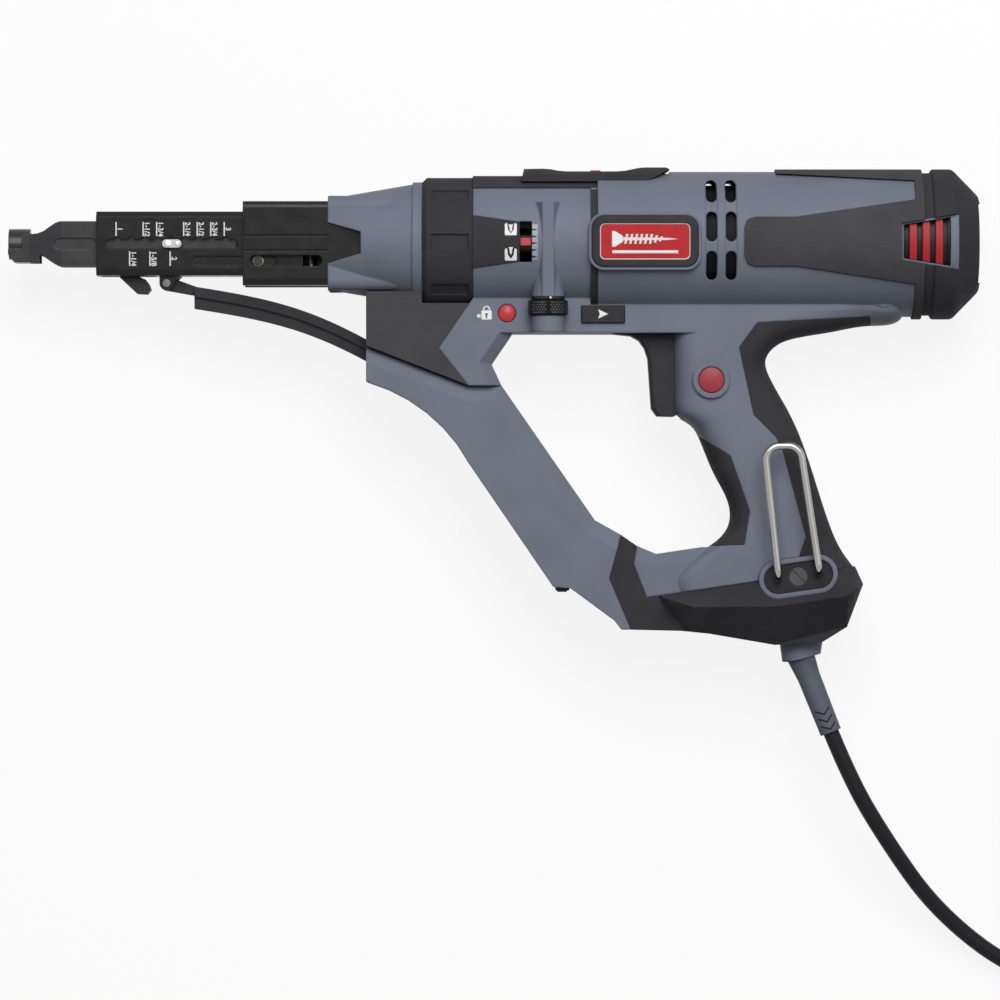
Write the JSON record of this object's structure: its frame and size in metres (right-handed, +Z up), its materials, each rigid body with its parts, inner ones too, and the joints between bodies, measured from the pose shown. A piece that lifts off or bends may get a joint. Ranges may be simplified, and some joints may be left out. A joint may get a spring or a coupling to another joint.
{
  "type": "drywall screwdriver",
  "caption": "Corded pistol-grip drywall screwdriver with an auto-feed nose for collated screws, strip-guide arm, depth wheel, belt hook and coiled mains cord.",
  "frame": {"origin": "point on the floor under the middle of the tool's box, with the tool lying on its far side", "axes": "+X from the nose to the rear of the motor along the drive line, +Y from the handle to the top of the barrel, +Z up, out of the side that carries the belt hook"},
  "size_m": [0.6253, 0.4007, 0.0708],
  "materials": {
    "shell_grey": "fine moulded texture, blue-grey",
    "black_rubber": "matt overmoulded rubber",
    "black_plastic": "satin moulded black",
    "black_metal": "gloss black coated",
    "dark_steel": "blackened steel",
    "red_plastic": "red moulded",
    "white_plastic": "white moulded",
    "steel": "machined",
    "hook_wire": "polished wire",
    "brass": "yellow passivated",
    "cast_alloy": "die cast",
    "lamination": "stacked laminations",
    "copper": "copper bars",
    "carbon": "pressed carbon",
    "cord_jacket": "smooth rubber jacket",
    "plug_black": "moulded plug"
  },
  "bodies": {
    "body": {"housing_left": "shell_grey", "housing_right": "shell_grey", "nose_cone": "shell_grey", "front_overmould": "black_rubber", "saddle_inlay": "red_plastic", "guide_housing": "black_metal", "rear_overmould": "black_rubber", "rear_cap": "black_plastic", "vent_bezels": "shell_grey", "vent_grille": "red_plastic", "badge_frames": "black_plastic", "badge_plates": "red_plastic", "grip_overmould": "black_rubber", "grip_pad": "black_rubber", "base_guard": "black_rubber", "bracket_channel": "black_plastic", "arm_left": "shell_grey", "arm_right": "shell_grey", "switch_module": "black_plastic", "gear_case": "cast_alloy", "gear_plate": "cast_alloy", "ball_bearings": "steel", "field_core": "lamination", "brush_holders": "black_plastic", "carbon_brushes": "carbon", "housing_screws": "steel", "hook_bezel": "shell_grey", "hook_mount": "black_plastic", "hook_screw": "steel", "belt_hook": "hook_wire", "strain_relief": "shell_grey", "power_cord": "cord_jacket", "cord_coil": "cord_jacket", "cord_tie": "black_plastic", "power_plug": "plug_black", "return_spring": "steel"},
    "feed_slide": {"feed_slide": "black_metal", "guide_screw": "brass", "strip_guide_pin": "dark_steel"},
    "nosepiece": {"nosepiece": "dark_steel"},
    "index_plunger": {"index_plunger": "white_plastic"},
    "feed_sprocket": {"feed_sprocket": "dark_steel"},
    "release_lever": {"release_lever": "black_plastic"},
    "strip_guide": {"strip_guide": "black_plastic"},
    "trigger": {"trigger": "black_plastic"},
    "lock_button": {"lock_button": "red_plastic"},
    "release_button": {"release_button": "red_plastic"},
    "direction_slider": {"direction_slider": "black_plastic"},
    "depth_wheel": {"depth_wheel": "black_plastic"},
    "depth_indicator": {"depth_indicator": "red_plastic"},
    "armature": {"motor_shaft": "steel", "cooling_fan": "black_plastic", "armature_core": "lamination", "commutator": "copper"},
    "layshaft": {"layshaft": "steel", "layshaft_gear": "steel"},
    "spindle": {"spindle": "steel", "spindle_gear": "steel", "drive_bit": "steel"}
  },
  "joints": [
    {"name": "trigger_pull", "type": "slide", "parent": "body", "child": "trigger", "axis": [1, 0, 0], "range_m": [0, 0.006], "stiffness_N_per_m": 1200, "springref_m": -0.002},
    {"name": "lock_button_press", "type": "slide", "parent": "body", "child": "lock_button", "axis": [0, 0, -1], "range_m": [0, 0.0025], "stiffness_N_per_m": 1200, "springref_m": -0.001},
    {"name": "release_button_press", "type": "slide", "parent": "body", "child": "release_button", "axis": [0, 0, -1], "range_m": [0, 0.0025], "stiffness_N_per_m": 1200, "springref_m": -0.001},
    {"name": "direction_slide", "type": "slide", "parent": "body", "child": "direction_slider", "axis": [0, 0, 1], "range_m": [-0.003, 0.003]},
    {"name": "depth_wheel_turn", "type": "hinge", "parent": "body", "child": "depth_wheel", "pos_m": [0.02545, 0.06732, 0.0599], "axis": [0, 1, 0], "range_deg": [-540, 540]},
    {"name": "depth_indicator_move", "type": "slide", "parent": "body", "child": "depth_indicator", "axis": [0, 1, 0], "range_m": [-0.0046, 0.0046]},
    {"name": "feed_slide_travel", "type": "slide", "parent": "body", "child": "feed_slide", "axis": [1, 0, 0], "range_m": [0, 0.055], "stiffness_N_per_m": 200, "springref_m": -0.03, "deforming": ["return_spring"]},
    {"name": "nosepiece_adjust", "type": "slide", "parent": "feed_slide", "child": "nosepiece", "axis": [1, 0, 0], "range_m": [-0.0254, 0.0254]},
    {"name": "index_plunger_press", "type": "slide", "parent": "nosepiece", "child": "index_plunger", "axis": [0, 0, -1], "range_m": [0, 0.002], "stiffness_N_per_m": 500, "springref_m": -0.001},
    {"name": "release_lever_tilt", "type": "hinge", "parent": "feed_slide", "child": "release_lever", "pos_m": [-0.16405, 0.08662, 0.0354], "axis": [0, 0, 1], "range_deg": [0, 15], "stiffness_Nm_per_rad": 0.1, "springref_deg": -5.73},
    {"name": "strip_guide_swing", "type": "hinge", "parent": "feed_slide", "child": "strip_guide", "pos_m": [-0.15395, 0.07942, 0.0354], "axis": [0, 0, 1], "range_deg": [-16.1, 0.1]},
    {"name": "sprocket_index", "type": "hinge", "parent": "feed_slide", "child": "feed_sprocket", "pos_m": [-0.17905, 0.09092, 0.0354], "axis": [0, 0, 1], "range_deg": [-60.5, 0.5]},
    {"name": "armature_spin", "type": "hinge", "parent": "body", "child": "armature", "pos_m": [0.10545, 0.09792, 0.0354], "axis": [1, 0, 0], "continuous": true},
    {"name": "layshaft_spin", "type": "hinge", "parent": "body", "child": "layshaft", "pos_m": [0.02545, 0.11292, 0.0354], "axis": [1, 0, 0], "continuous": true},
    {"name": "spindle_spin", "type": "hinge", "parent": "body", "child": "spindle", "pos_m": [0.00545, 0.09792, 0.0354], "axis": [1, 0, 0], "continuous": true}
  ],
  "couplings": [
    {"joint": "depth_indicator_move", "follows": "depth_wheel_turn", "m_per_rad": 0.00047746},
    {"joint": "strip_guide_swing", "follows": "feed_slide_travel", "rad_per_m": -5.0773},
    {"joint": "sprocket_index", "follows": "feed_slide_travel", "rad_per_m": -19.04},
    {"joint": "layshaft_spin", "follows": "armature_spin", "ratio": -0.33333},
    {"joint": "spindle_spin", "follows": "armature_spin", "ratio": 0.14286}
  ]
}
